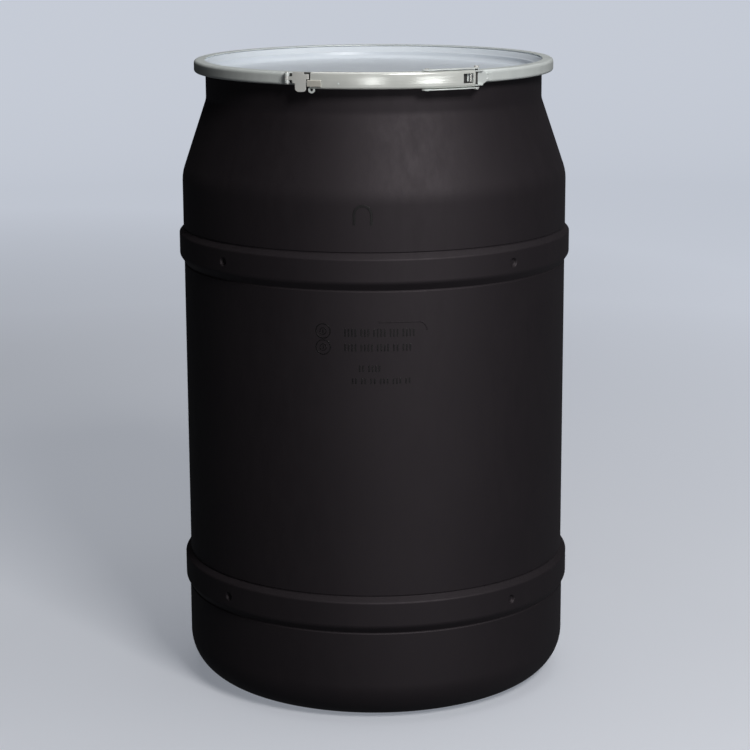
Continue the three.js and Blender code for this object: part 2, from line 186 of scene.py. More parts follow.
def mark_plastic():
    """The same polyethylene where the mould was polished: smoother, so darker than the wall."""
    material, tree, shader = new_material("drum_polished_marks")
    fine = noise(tree, 300, 2)
    colour = tint(tree, fine, (0.0040, 0.0034, 0.0042), (0.0052, 0.0045, 0.0053))
    tree.links.new(colour, shader.inputs["Base Color"])
    tree.links.new(ramp(tree, fine, 0.3, 0.7, 0.40, 0.48), shader.inputs["Roughness"])
    tree.links.new(bump(tree, fine, 0.08, 0.0003), shader.inputs["Normal"])
    shader.inputs["Specular IOR Level"].default_value = 0.45
    return material


def lid_plastic():
    material, tree, shader = new_material("lid_white_polyethylene")
    broad = noise(tree, 9, 3)
    fine = noise(tree, 420, 2)
    dust = noise(tree, 120, 5, (1, 1, 1), 0.65)
    patches = ramp(tree, broad, 0.35, 0.65, 0, 1)
    colour = tint(tree, patches, (0.725, 0.785, 0.86), (0.75, 0.81, 0.88))
    tree.links.new(colour, shader.inputs["Base Color"])
    tree.links.new(ramp(tree, dust, 0.35, 0.7, 0.28, 0.40), shader.inputs["Roughness"])
    tree.links.new(bump(tree, fine, 0.12, 0.0003), shader.inputs["Normal"])
    shader.inputs["Subsurface Weight"].default_value = 0.08
    shader.inputs["Subsurface Radius"].default_value = (0.004, 0.004, 0.004)
    return material


def rubber_material():
    material, tree, shader = new_material("gasket_black_rubber")
    fine = noise(tree, 900, 3)
    colour = tint(tree, fine, (0.018, 0.018, 0.018), (0.032, 0.031, 0.03))
    tree.links.new(colour, shader.inputs["Base Color"])
    tree.links.new(ramp(tree, fine, 0.3, 0.7, 0.72, 0.85), shader.inputs["Roughness"])
    tree.links.new(bump(tree, fine, 0.3, 0.0003), shader.inputs["Normal"])
    return material


def steel_material(name, dark, light, rough_low, rough_high, metallic):
    """Zinc-coated sheet steel: a faint mottle, rolling streaks and fine handling marks."""
    material, tree, shader = new_material(name)
    mottle = noise(tree, 60, 3, (1, 1, 1), 0.5)
    streaks = noise(tree, 120, 2, (0.2, 0.2, 1.5))
    marks = noise(tree, 500, 2)
    colour = tint(tree, ramp(tree, mottle, 0.35, 0.65, 0, 1), dark, light)
    tree.links.new(colour, shader.inputs["Base Color"])
    tree.links.new(ramp(tree, streaks, 0.3, 0.7, rough_low, rough_high), shader.inputs["Roughness"])
    tree.links.new(bump(tree, marks, 0.012, 0.0002), shader.inputs["Normal"])
    shader.inputs["Metallic"].default_value = metallic
    return material


PLASTIC = black_plastic()
MARKS = mark_plastic()
LID = lid_plastic()
RUBBER = rubber_material()
RING = steel_material(
    "ring_galvanised_steel", (0.78, 0.83, 0.82), (0.83, 0.88, 0.87), 0.34, 0.42, 0.22
)
PINS = steel_material("pins_zinc_plated", (0.72, 0.73, 0.71), (0.80, 0.80, 0.78), 0.28, 0.40, 0.35)
# Near-black steel as painted shade: the anchor pin, the fulcrum plate and the latch leaf wear it, so
# the slit, the lever's window and the latch's slot read dark.
SHADE_DARK_STEEL = steel_material(
    "painted_shade_dark_steel", (0.05, 0.05, 0.052), (0.08, 0.078, 0.076), 0.45, 0.6, 0.5
)
LEVER_STEEL = steel_material(
    "lever_galvanised_steel", (0.80, 0.825, 0.79), (0.85, 0.875, 0.84), 0.20, 0.27, 0.25
)
LATCH_STEEL = steel_material(
    "latch_zinc_warm", (0.80, 0.81, 0.785), (0.86, 0.865, 0.84), 0.36, 0.46, 0.2
)
GRIP_STEEL = steel_material(
    "grip_zinc_warm", (0.66, 0.645, 0.58), (0.73, 0.71, 0.65), 0.30, 0.42, 0.25
)


# ---------- mesh helpers ----------
def polar(r, degrees):
    a = math.radians(degrees)
    return r * math.sin(a), -r * math.cos(a)


def finish_mesh(name, bm, material, weighted=False):
    bmesh.ops.recalc_face_normals(bm, faces=bm.faces)
    mesh = bpy.data.meshes.new(name)
    bm.to_mesh(mesh)
    bm.free()
    mesh.materials.append(material)
    for polygon in mesh.polygons:
        polygon.use_smooth = True
    piece = bpy.data.objects.new(name, mesh)
    bpy.context.scene.collection.objects.link(piece)
    if weighted:
        modifier = piece.modifiers.new("normals", "WEIGHTED_NORMAL")
        modifier.weight = 80
        modifier.keep_sharp = True
    return piece


def rounded(points, closed=False):
    """A line of (r, z, fillet) as points, with an arc for each corner and a guard point beside it."""
    count = len(points)
    line = []
    for i, (r, z, fillet) in enumerate(points):
        here = Vector((r, z))
        if not fillet or (not closed and i in (0, count - 1)):
            line.append(here)
            continue
        back = Vector(points[i - 1][:2]) - here
        on = Vector(points[(i + 1) % count][:2]) - here
        half = back.angle(on) / 2
        reach = min(fillet / math.tan(half), 0.46 * back.length, 0.46 * on.length)
        radius = reach * math.tan(half)
        guard = min(0.35 * reach + 0.15, 0.04 * back.length + 0.02, 0.04 * on.length + 0.02)
        start, end = here + back.normalized() * reach, here + on.normalized() * reach
        centre = here + (back.normalized() + on.normalized()).normalized() * (radius / math.sin(half))
        line.append(here + back.normalized() * (reach + guard))
        steps = max(3, math.ceil(math.degrees(math.pi - 2 * half) / 12))
        first, last = start - centre, end - centre
        swing = first.angle_signed(last)
        for k in range(steps + 1):
            a = -swing * k / steps
            c, s = math.cos(a), math.sin(a)
            line.append(centre + Vector((first.x * c - first.y * s, first.x * s + first.y * c)))
        line.append(here + on.normalized() * (reach + guard))
    return line


def revolved(name, line, material, angles=None, move=None, closed=True):
    """A (r, z) line turned about Z. An open line starts and ends on the axis."""
    angles = angles or [i * 360 / 240 for i in range(240)]
    bm = bmesh.new()
    rings = []
    for point in line:
        if point[0] < 1e-6:
            rings.append([bm.verts.new((0, 0, point[1] * MM))] * len(angles))
            continue
        ring = []
        for a in angles:
            r, z = move(point[0], point[1], a) if move else (point[0], point[1])
            x, y = polar(r, a)
            ring.append(bm.verts.new((x * MM, y * MM, z * MM)))
        rings.append(ring)
    pairs = list(zip(rings, rings[1:])) + ([(rings[-1], rings[0])] if closed else [])
    for low, high in pairs:
        for i in range(len(angles)):
            j = (i + 1) % len(angles)
            corners = list(dict.fromkeys((low[i], low[j], high[j], high[i])))
            if len(corners) > 2:
                bm.faces.new(corners)
    return finish_mesh(name, bm, material)


def swept(name, line, start, end, material, step=1.2):
    """A closed (r, z) section carried round from one angle to another, with flat ends."""
    count = max(2, math.ceil((end - start) / step))
    bm = bmesh.new()
    rings = []
    for i in range(count + 1):
        a = start + (end - start) * i / count
        ring = []
        for r, z in line:
            x, y = polar(r, a)
            ring.append(bm.verts.new((x * MM, y * MM, z * MM)))
        rings.append(ring)
    size = len(line)
    for low, high in zip(rings, rings[1:]):
        for i in range(size):
            j = (i + 1) % size
            bm.faces.new((low[i], low[j], high[j], high[i]))
    for cap in (bm.faces.new(rings[0]), bm.faces.new(rings[-1])):
        for edge in cap.edges:
            edge.smooth = False
    return finish_mesh(name, bm, material, weighted=True)


def flat_sheet(outlines, thickness, edge):
    """A flat sheet with rounded edges, as bmesh, from outlines in mm: its edge, then its holes."""
    curve = bpy.data.curves.new("outline", "CURVE")
    curve.dimensions = "2D"
    curve.fill_mode = "BOTH"
    curve.bevel_mode = "ROUND"
    curve.bevel_depth = edge
    curve.bevel_resolution = 2
    curve.offset = -edge
    curve.extrude = thickness / 2 - edge
    for outline in outlines:
        spline = curve.splines.new("POLY")
        spline.points.add(len(outline) - 1)
        for point, (x, y) in zip(spline.points, outline):
            point.co = (x, y, 0, 1)
        spline.use_cyclic_u = True
    holder = bpy.data.objects.new("outline", curve)
    bpy.context.scene.collection.objects.link(holder)
    bpy.context.view_layer.update()
    graph = bpy.context.evaluated_depsgraph_get()
    mesh = bpy.data.meshes.new_from_object(holder.evaluated_get(graph))
    bm = bmesh.new()
    bm.from_mesh(mesh)
    bmesh.ops.remove_doubles(bm, verts=bm.verts, dist=1e-4)
    bpy.data.objects.remove(holder)
    bpy.data.curves.remove(curve)
    bpy.data.meshes.remove(mesh)
    return bm


def cut_lines(bm, axis, places):
    for place in places:
        where = Vector((0, 0, 0))
        where[axis] = place
        normal = Vector((0, 0, 0))
        normal[axis] = 1
        geometry = bm.verts[:] + bm.edges[:] + bm.faces[:]
        bmesh.ops.bisect_plane(bm, geom=geometry, plane_co=where, plane_no=normal, dist=1e-4)


def corner_cut(points, radius):
    """The corners of an outline of (x, y) or (x, y, own radius) points, rounded."""
    full = [(p[0], p[1], p[2] if len(p) > 2 else radius) for p in points]
    return [(v[0], v[1]) for v in rounded(full, closed=True)]


class Section:
    """The middle line of a bent sheet, as (r, z) along its developed width."""

    def __init__(self, corners, bend):
        self.line = rounded([(r, z, bend) for r, z in corners])
        self.at = [0.0]
        for a, b in zip(self.line, self.line[1:]):
            self.at.append(self.at[-1] + (b - a).length)
        self.width = self.at[-1]

    def point(self, t, off):
        last = len(self.line) - 2
        i = min(last, next((k for k, v in enumerate(self.at[1:]) if v >= t), last))
        a, b = self.line[i], self.line[i + 1]
        along = (b - a).normalized()
        share = (t - self.at[i]) / max(1e-9, self.at[i + 1] - self.at[i])
        return a + (b - a) * share + Vector((along.y, -along.x)) * off


def formed(name, outlines, section, reference, sheet, material, edge=0.35, step=2.5):
    """A sheet bent to a section and rolled round the drum.

    Outlines are (arc length at the reference radius, place along the developed width).
    """
    bm = flat_sheet(outlines, sheet, edge)
    xs = [p[0] for p in outlines[0]]
    low, high = min(xs), max(xs)
    count = max(1, math.ceil((high - low) / step))
    cut_lines(bm, 0, [low + (high - low) * i / count for i in range(1, count)])
    cut_lines(bm, 1, section.at[1:-1])
    for v in bm.verts:
        r, z = section.point(v.co.y, v.co.z)
        x, y = polar(r, math.degrees(v.co.x / reference))
        v.co = (x * MM, y * MM, z * MM)
    return finish_mesh(name, bm, material, weighted=True)


def plan_plate(name, outlines, low, sheet, material, edge=0.35):
    """A flat plate that lies level, its outline in plan."""
    bm = flat_sheet(outlines, sheet, edge)
    for v in bm.verts:
        v.co = (v.co.x * MM, v.co.y * MM, (v.co.z + low + sheet / 2) * MM)
    return finish_mesh(name, bm, material, weighted=True)


def upright(name, at, line, material, steps=32):
    """A small turned piece, standing: its (r, z) line starts and ends on its own axis."""
    angles = [i * 360 / steps for i in range(steps)]
    piece = revolved(name, line, material, angles, closed=False)
    x, y = polar(*at)
    piece.data.transform(Matrix.Translation((x * MM, y * MM, 0)))
    return piece


def radial(name, degrees, height, line, material, steps=28):
    """A small turned piece that points outwards: its line is (r, distance from the drum's axis)."""
    angles = [i * 360 / steps for i in range(steps)]
    piece = revolved(name, line, material, angles, closed=False)
    turn = Matrix.Rotation(math.radians(degrees), 4, "Z") @ Matrix.Rotation(math.radians(90), 4, "X")
    piece.data.transform(Matrix.Translation((0, 0, height * MM)) @ turn)
    return piece


# ---------- drum body ----------
GROOVE = 0.9


def hoop_line(hoop):
    """A hoop that swells out of the wall, with a fine groove pressed in the wall along each edge."""
    low, high = hoop["low"], hoop["high"]
    return [
        (hoop["below"], low - 2.4, 0.9),
        (hoop["below"] - GROOVE, low - 1.3, 0.5),
        (hoop["below"] - GROOVE, low, 0.8),
        (hoop["r"], hoop["low_full"], 9),
        (hoop["r"], hoop["high_full"], 3.5),
        (hoop["above"] - GROOVE, high, 0.8),
        (hoop["above"] - GROOVE, high + 1.3, 0.5),
        (hoop["above"], high + 2.4, 0.9),
    ]


def base_corner(inset, steps=22):
    """A quarter of an ellipse from the foot up to the wall."""
    across = LOWER_HOOP["below"] - FOOT_OUTER - inset
    turn = [math.pi / 2 * i / steps for i in range(steps + 1)]
    up = CORNER_TOP - inset
    return [(FOOT_OUTER + across * math.sin(a), CORNER_TOP - up * math.cos(a), 0) for a in turn]


def drum_line():
    dish_to = FOOT_INNER - 12
    outside = [(0, DISH, 0), (60, DISH, 0), (150, DISH, 0), (dish_to, DISH, 6), (FOOT_INNER, 0, 5)]
    outside += base_corner(0)
    outside += hoop_line(LOWER_HOOP)
    outside += [(WALL_R, z, 0) for z in range(220, 620, 40)]
    outside += hoop_line(UPPER_HOOP)
    outside += [
        (SHOULDER_R, SHOULDER_Z, 62),
        (NECK_R, NECK_Z, 22),
        (NECK_R, BEAD_LOW, 1.2),
        (BEAD_R, BEAD_LOW, 1.5),
        (BEAD_R, BEAD_HIGH, 2.2),
        (NECK_R + 0.3, BEAD_HIGH, 1.6),
    ]
    inside = [
        (NECK_R - WALL, BEAD_HIGH - 6, 3),
        (NECK_R - WALL, NECK_Z - 1.5, 20),
        (SHOULDER_R - WALL, SHOULDER_Z - 1.5, 58),
    ]
    for hoop, above, full, below in INSIDE_HOOPS:
        inside += [
            (above, hoop["high"], 4),
            (full, hoop["high_full"], 5),
            (full, hoop["low_full"], 5),
            (below, hoop["low"], 5),
        ]
    inside += reversed(base_corner(WALL))
    inside += [(FOOT_INNER, WALL, 4), (dish_to, DISH + WALL, 6), (0, DISH + WALL, 0)]
    return rounded(outside + inside)


DIMPLE_TURN, DIMPLE_R, DIMPLE_DEPTH, DIMPLE_RIM = -2.6, 6.9, 3.4, 3.4
DIMPLE_HEIGHTS = (164.2, 657.6)
HOOP_FACE_R, OUTSIDE_R = 288.5, 286
DIMPLE_ANGLES = [DIMPLE_TURN + 45 + 90 * i for i in range(4)]


def with_dimple_rows(line):
    """More points on the two hoops' faces, where the dimples are."""
    rows = []
    for a, b in zip(line, line[1:] + line[-1:]):
        rows.append(a)
        if min(a[0], b[0]) < HOOP_FACE_R or abs(a[1] - b[1]) < 12:
            continue
        middle = next(h for h in DIMPLE_HEIGHTS if min(a[1], b[1]) < h < max(a[1], b[1]))
        count = 20
        extra = [middle + 8.5 * (2 * i / count - 1) for i in range(count + 1)]
        rows += [Vector((a[0], z)) for z in extra]
    return rows


def dimple_columns():
    angles = {round(i * 1.5, 4) for i in range(240)}
    near = [1.7 * i / 13 for i in range(-13, 14)]
    for middle in DIMPLE_ANGLES:
        angles = {a for a in angles if abs((a - middle + 180) % 360 - 180) > 1.8}
        angles |= {round((middle + step) % 360, 4) for step in near}
    return sorted(angles)


def press_dimple(r, z, degrees):
    if r < OUTSIDE_R:
        return r, z
    for height in DIMPLE_HEIGHTS:
        for middle in DIMPLE_ANGLES:
            across = math.radians((degrees - middle + 180) % 360 - 180) * r
            away = math.hypot(across, z - height)
            if away < DIMPLE_R:
                share = min(1, (DIMPLE_R - away) / DIMPLE_RIM)
                return r - DIMPLE_DEPTH * share * share * (3 - 2 * share), z
    return r, z


shell_line = with_dimple_rows(drum_line())
drum = revolved(
    "drum_shell", shell_line, PLASTIC, dimple_columns(), press_dimple, closed=False
)
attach(drum, "drum")
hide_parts("drum_body")


# ---------- raised marks on the wall: a plain arch, two dials and rows of blank strokes ----------
def on_wall(name, outlines, r, height=0.5, edge=0.22, material=MARKS):
    """A thin raised shape on the drum's wall. Outlines are (arc length from the front, z)."""
    bm = flat_sheet(outlines, height + 0.6, edge)
    xs = [p[0] for o in outlines for p in o]
    count = max(1, math.ceil((max(xs) - min(xs)) / 4))
    cut_lines(bm, 0, [min(xs) + (max(xs) - min(xs)) * i / count for i in range(1, count)])
    for v in bm.verts:
        out = r + v.co.z + (height - 0.6) / 2
        x, y = polar(out, math.degrees(v.co.x / r))
        v.co = (x * MM, y * MM, v.co.y * MM)
    piece = finish_mesh(name, bm, material, weighted=True)
    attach(piece, "drum")


def circle(x, y, r, steps=36):
    turn = [2 * math.pi * i / steps for i in range(steps)]
    return [(x + r * math.cos(a), y + r * math.sin(a)) for a in turn]


def bar(x0, y0, x1, y1, radius):
    return corner_cut([(x0, y0), (x1, y0), (x1, y1), (x0, y1)], radius)


def arch_outline(x, foot, width, height, line):
    outer, inner = width / 2, width / 2 - line
    middle = foot + height - outer
    turn = [math.pi * i / 16 for i in range(17)]
    over = [(x + outer * math.cos(a), middle + outer * math.sin(a)) for a in turn]
    under = [(x + inner * math.cos(a), middle + inner * math.sin(a)) for a in reversed(turn)]
    return [(x + outer, foot), *over, (x - outer, foot), (x - inner, foot), *under, (x + inner, foot)]


to_arc = math.pi / 180 * WALL_R
on_wall("arch_mark", [arch_outline(-3.2 * to_arc, 722, 27, 28, 3.4)], SHOULDER_R)
for number, z in enumerate((573.6, 551.0), 1):
    x = -14.6 * to_arc
    on_wall(f"dial_{number}_rim", [circle(x, z, 10.8), circle(x, z, 9.6)], WALL_R)
    on_wall(f"dial_{number}_hub", [circle(x, z, 5, 24), circle(x, z, 4, 20)], WALL_R)
    on_wall(f"dial_{number}_hand", [bar(x - 0.6, z - 2.6, x + 0.6, z + 2.6, 0.4)], WALL_R)

STROKE, PITCH = 2, 4.8


def blank_rows():
    """Rows of plain upright strokes in uneven groups, where a mould has its stamps."""
    draw = random.Random(5)
    rows = [(572.2, 11, -42, 62), (551.2, 10, -42, 62), (521.8, 9, -22, 22), (504.0, 8, -32, 64)]
    for row, (height, tall, left, right) in enumerate(rows, 1):
        strokes, x = [], left
        while x < right - 3 * PITCH:
            for _ in range(draw.randint(2, 4)):
                strokes.append(bar(x, height - tall / 2, x + STROKE, height + tall / 2, 0.5))
                x += PITCH
            x += PITCH * 0.7
        on_wall(f"stroke_row_{row}", strokes, WALL_R, 0.4)


def frame_corner(left, right, top, radius, line):
    """A line along the top of the rows that turns down at its right end."""
    turn = [math.pi / 2 * i / 8 for i in range(9)]
    x, y = right - radius, top - radius
    over = [(x + radius * math.sin(a), y + radius * math.cos(a)) for a in turn]
    inner = radius - line
    under = [(x + inner * math.sin(a), y + inner * math.cos(a)) for a in reversed(turn)]
    return [(left, top), *over, *under, (left, top - line)]


blank_rows()
on_wall("row_frame", [frame_corner(6, 74, 588, 13, 1.6)], WALL_R, 0.9, material=PLASTIC)


# ---------- lid and gasket ----------
def lid_line():
    under, bottom = LID_TOP - LID_SHEET, LID_PANEL - LID_SHEET
    return rounded([
        (0, LID_PANEL + 1.5, 0),
        (30, LID_PANEL + 1.5, 0),
        (95, LID_PANEL + 1.5, 3),
        (98, LID_PANEL, 3),
        (160, LID_PANEL, 0),
        (231, LID_PANEL, 9),
        (236.6, LID_PANEL + 4, 5),
        (238.0, 915.8, 1.2),
        (240.0, 916.9, 1.2),
        (245.6, LID_TOP - 0.9, 3),
        (249.0, LID_TOP, 2),
        (LID_OUTER, LID_TOP, 2),
        (LID_OUTER, 913.5, 0.9),
        (LID_OUTER - 2.4, 913.5, 0.9),
        (LID_OUTER - 2.4, under, 1),
        (247.5, under, 2),
        (LID_PLUG, 913.8, 2),
        (LID_PLUG, bottom, 3),
        (0, bottom, 0),
    ])


lid = revolved("lid_shell", lid_line(), LID, closed=False)
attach(lid, "lid")
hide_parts("lid")

gasket = revolved(
    "gasket_ring",
    rounded([(248, 917.9, 1), (257.4, 917.9, 1), (257.4, 920.7, 1), (248, 920.7, 1)], closed=True),
    RUBBER,
)
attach(gasket, "lid")
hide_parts("lid_gasket")


# ---------- ring ----------
def ring_line():
    return rounded([
        (RING_LIP_R, RING_TOP - STEEL, 0.5),
        (RING_R - STEEL, RING_TOP - STEEL, 3),
        (RING_R - STEEL, RING_BOTTOM + STEEL, 2.5),
        (RING_HOOK_R, RING_BOTTOM + STEEL, 0.5),
        (RING_HOOK_R, RING_BOTTOM, 0.5),
        (RING_R, RING_BOTTOM, 3.6),
        (RING_R, RING_TOP, 4.6),
        (RING_LIP_R, RING_TOP, 0.6),
    ], closed=True)


left_band = swept("ring_left_half", ring_line(), REAR - 360, END_B, RING)
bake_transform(left_band)
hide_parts("ring_band_left", "ring_band_rear")
right_band = swept("ring_right_half", ring_line(), END_A, REAR, RING)
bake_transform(right_band)
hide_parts("ring_band_right")


# ---------- lever ----------
MID = LEVER_R + LEVER_SHEET / 2
arc = math.pi / 180 * MID


def lever_piece():
    low_edge, high_edge = LEVER_LOW + LEVER_SHEET / 2, LEVER_HIGH - LEVER_SHEET / 2
    middle = (LEVER_LOW + LEVER_HIGH) / 2
    bulge = [(MID + 0.45, middle - 4.8), (MID + 0.6, middle), (MID + 0.45, middle + 4.8)]
    web = [(MID, low_edge), *bulge, (MID, high_edge)]
    section = Section([(FLANGE_R, low_edge), *web, (FLANGE_R, high_edge)], 3.2)
    width = section.width
    left, right = LEVER_FROM * arc, LEVER_TO * arc
    flange_start = FLANGE_FROM * arc
    neck = FLANGE_TO * arc
    low = [
        (left, 5.2, 1.2),
        (flange_start - 2, 5.2, 2),
        (flange_start + 3, 0, 2),
        (neck - 3, 0, 2),
        (neck, 0.8, 1),
        (right - 1, 0.8, 1.5),
        (right + 0.6, 3.4, 1.5),
        (right, 6.4, 1),
    ]
    high = [(x, width - t, r) for x, t, r in reversed(low)]
    outline = corner_cut(low + high, 1)
    shift = width / 2 - middle
    window = bar(
        WINDOW_FROM * arc, WINDOW_LOW + shift, WINDOW_TO * arc, WINDOW_HIGH + shift, 0.9
    )
    outlines = [outline, window]
    return formed(
        "lever_body", outlines, section, MID, LEVER_SHEET, LEVER_STEEL, edge=0.4
    )


lever = lever_piece()
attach(lever, "lever")
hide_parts("lever")


def grip_piece():
    """The pressed finger grip across the lever's free end."""
    foot = GRIP_R - 1.8
    corners = [(foot, GRIP_LOW), (GRIP_R, GRIP_LOW), (GRIP_R, GRIP_HIGH), (foot, GRIP_HIGH)]
    section = Section(corners, 2.4)
    outline = bar(GRIP_FROM * arc, 0, GRIP_TO * arc, section.width, 0.8)
    return formed(
        "lever_grip", [outline], section, MID, 1.1, GRIP_STEEL, edge=0.3, step=2
    )


grip = grip_piece()
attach(grip, "lever")


def seal_eye_piece():
    """A strip inside the lever's end with an eye below it for a wire seal."""
    middle = LEVER_R - 0.3 - EYE_SHEET / 2
    floor = 890
    section = Section([(middle, floor), (middle, floor + 40)], 0)
    x, z = EYE_ANGLE * arc, EYE_Z - floor
    low, high, end = STRIP_LOW - floor, STRIP_HIGH - floor, STRIP_TO * arc
    turn = [math.radians(118 + 304 * i / 28) for i in range(29)]
    eye = [(x + EYE_R * math.cos(a), z + EYE_R * math.sin(a)) for a in turn]
    strip = [(x + 3.2, low), (end, low), (end, high), (x, high), (x, low + 0.8), (x - 2.4, low - 1)]
    outlines = [eye + strip, circle(x, z, EYE_HOLE, 20)]
    return formed("seal_eye_strip", outlines, section, MID, EYE_SHEET, RING, step=3)


seal_eye = seal_eye_piece()
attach(seal_eye, "lever")
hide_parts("seal_eye")


def dome(radius, height, low):
    """Half the outline of a rivet: a shank end on the axis, and a domed head."""
    steps = 7
    turn = [math.pi / 2 * i / steps for i in range(steps)]
    cap = [(radius * math.cos(a), low + height * math.sin(a)) for a in turn]
    shank, foot = radius * 0.6, low - 1.2
    line = [(0, foot), (shank, foot), (shank, low), (radius - 0.15, low), *cap, (0, low + height)]
    return [Vector(point) for point in line]


eye_line = dome(2.3, 0.7, LEVER_R + LEVER_SHEET - 0.05)
eye_rivet = radial(
    "seal_eye_rivet_head", EYE_RIVET_ANGLE, EYE_RIVET_Z, eye_line, RING
)
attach(eye_rivet, "lever")
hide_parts("seal_eye_rivet")


# ---------- links ----------
def link_outline():
    """A curved strap with round ends, as (x, y) in plan."""
    start, end = LINK_FROM, ANCHOR[1]
    along = [start + (end - start) * i / 14 for i in range(15)]

    def round_end(degrees, first):
        x, y = polar(LINK_MID, degrees)
        turn = [math.radians(first) + math.pi * i / 10 for i in range(1, 10)]
        return [(x + LINK_HALF * math.cos(a), y + LINK_HALF * math.sin(a)) for a in turn]

    outer = [polar(LINK_MID + LINK_HALF, a) for a in along]
    inner = [polar(LINK_MID - LINK_HALF, a) for a in reversed(along)]
    return outer + round_end(end, end - 90) + inner + round_end(start, start + 90)


for name, low in (("upper", UPPER_LINK), ("lower", LOWER_LINK)):
    strap = plan_plate(f"link_strap_{name}", [link_outline()], low, LINK_SHEET, RING)
    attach(strap, "link")
    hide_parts(f"link_{name}")


# ---------- brackets ----------
def bracket_piece(name, pivot, ear, web, ears, heights, tail=None, material=RING):
    """A plate on the ring's face whose top and bottom edges turn out into two ears round a pin.

    web, ears and tail hold angles: where the plate starts and ends, where the ears do, and where it
    has tapered to its narrow end. heights are those of the edges at the ears, and by how much the
    tail is narrower each way.
    """
    inner = RING_R + 1.2
    out = pivot[0] + ear
    low, high, narrower = heights
    low_edge, high_edge = low + 0.9, high - 0.9
    corners = [(out, low_edge), (inner, low_edge), (inner, high_edge), (out, high_edge)]
    section = Section(corners, 1.8)
    width = section.width
    flange = out - inner
    mid_arc = math.pi / 180 * inner
    web_end, web_start = web[1] * mid_arc, web[0] * mid_arc
    ear_tip, ear_root = ears[0] * mid_arc, ears[1] * mid_arc
    on = 1 if web_end > ear_root else -1
    tail_at = (tail or ears[1] + on * 0.9) * mid_arc
    lower = [
        (ear_tip, 0, 2.2),
        (ear_root, 0.4, 2),
        (ear_root + on * 3, flange - 0.6, 2),
        (tail_at, flange + narrower, 3),
        (web_end, flange + narrower, 2.5),
    ]
    upper = [(x, width - t, r) for x, t, r in reversed(lower)]
    notch = [
        (ear_tip, width - flange + 0.2, 0.6),
        (web_start, width - flange + 0.2, 0.8),
        (web_start, flange - 0.2, 0.8),
        (ear_tip, flange - 0.2, 0.6),
    ]
    outline = corner_cut(lower + upper + notch, 1)
    if on < 0:
        outline.reverse()
    return formed(name, [outline], section, inner, 1.7, material, edge=0.35, step=2)


# The fulcrum plate is near-black as painted shade, so the inside of the lever's window reads dark.
fulcrum = bracket_piece(
    "fulcrum_plate", FULCRUM, 2.2, web=(28.9, 18), ears=(30.4, 26.9), heights=(909.6, 925.2, 0.6),
    material=SHADE_DARK_STEEL,
)
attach(fulcrum, "ring_left")
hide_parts("fulcrum_bracket")
anchor = bracket_piece(
    "anchor_plate", ANCHOR, 2.9, web=(32.5, 38.2), ears=(31.25, 33.9), heights=(905.6, 926.6, 3.4),
    tail=36.0,
)
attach(anchor, "ring_right")
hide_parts("anchor_bracket")


# ---------- pins and rivets ----------
def pin_line(shank, low, high, foot=None, head=None):
    """A pin's outline, with optional (radius, from, to) ends, each with a rounded rim."""
    line = [(0, low, 0), (shank, low, 0.4)]
    if foot:
        wide, start, end = foot
        line = [(0, start, 0), (wide, start, 0.7), (wide, end, 0.3), (shank, end, 0)]
    if head:
        wide, start, end = head
        line += [(shank, start, 0), (wide, start, 0.3), (wide, end, 1.0), (0, end, 0)]
    else:
        line += [(shank, high, 0.4), (0, high, 0)]
    return rounded(line)


def pin(name, at, line, body, node, material=PINS):
    piece = upright(name, at, line, material)
    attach(piece, body)
    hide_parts(node)


upper_top = UPPER_LINK + LINK_SHEET
inside_lever = LEVER_LOW + 0.1, LEVER_HIGH - 0.1
pin("fulcrum_pin_bar", FULCRUM, pin_line(1.5, *inside_lever), "ring_left", "fulcrum_pin")
pin("link_pin_bar", LINK_PIN, pin_line(1.7, *inside_lever), "lever", "link_pin")
# The anchor pin's shank is near-black as painted shade, for the dark slit it stands in.
anchor_line = pin_line(1.9, LOWER_LINK - 0.3, upper_top + 0.3)
pin("anchor_pin_shank", ANCHOR, anchor_line, "ring_right", "anchor_pin", SHADE_DARK_STEEL)
foot_line = pin_line(3.2, LOWER_LINK - 1.5, LOWER_LINK - 0.1)
pin("anchor_pin_foot", ANCHOR, foot_line, "ring_right", "anchor_pin")
head_line = pin_line(3.4, upper_top + 0.1, upper_top + 2.4)
pin("anchor_pin_head", ANCHOR, head_line, "ring_right", "anchor_pin")
latch_foot = (2.6, LATCH_LOW - 1.4, LATCH_LOW - 0.2)
latch_head = (2.6, LATCH_HIGH + 0.2, LATCH_HIGH + 1.4)
pin("latch_pin_bar", LATCH, pin_line(1.6, 0, 0, latch_foot, latch_head), "ring_left", "latch_pin")
top_line = pin_line(2.0, upper_top - 1, 0, head=(3.1, upper_top, upper_top + 1.2))
pin("link_rivet_top", LINK_PIN, top_line, "link", "link_rivet_upper")
bottom_line = pin_line(2.0, 0, LOWER_LINK + 1, foot=(3.1, LOWER_LINK - 1.2, LOWER_LINK))
pin("link_rivet_bottom", LINK_PIN, bottom_line, "link", "link_rivet_lower")

plate_face, leaf_face = RING_R + 2.05, RING_R + 1.7
for group, body, face, places in (
    ("fulcrum", "ring_left", plate_face, ((20.2, 917.4), (24.6, 917.4))),
    ("anchor", "ring_right", plate_face, ((36.4, 913.6), (36.4, 921.2))),
    ("latch", "ring_left", leaf_face, ((-21.6, 914.6), (-21.6, 922.2))),
):
    line = dome(2.2, 0.6, face)
    for number, (angle, height) in enumerate(places, 1):
        rivet = radial(f"{group}_rivet_head_{number}", angle, height, line, RING)
        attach(rivet, body)
        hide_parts(f"{group}_rivet_{number}")


# ---------- latch ----------
KNUCKLE, BORE = 3.6, 1.75


def knuckle(name, low, high, body, material=RING):
    corners = [(BORE, low, 0.2), (KNUCKLE, low, 0.5), (KNUCKLE, high, 0.5), (BORE, high, 0.2)]
    line = rounded(corners, closed=True)
    piece = revolved(name, line, material, [i * 12 for i in range(30)])
    x, y = polar(*LATCH)
    piece.data.transform(Matrix.Translation((x * MM, y * MM, 0)))
    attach(piece, body)


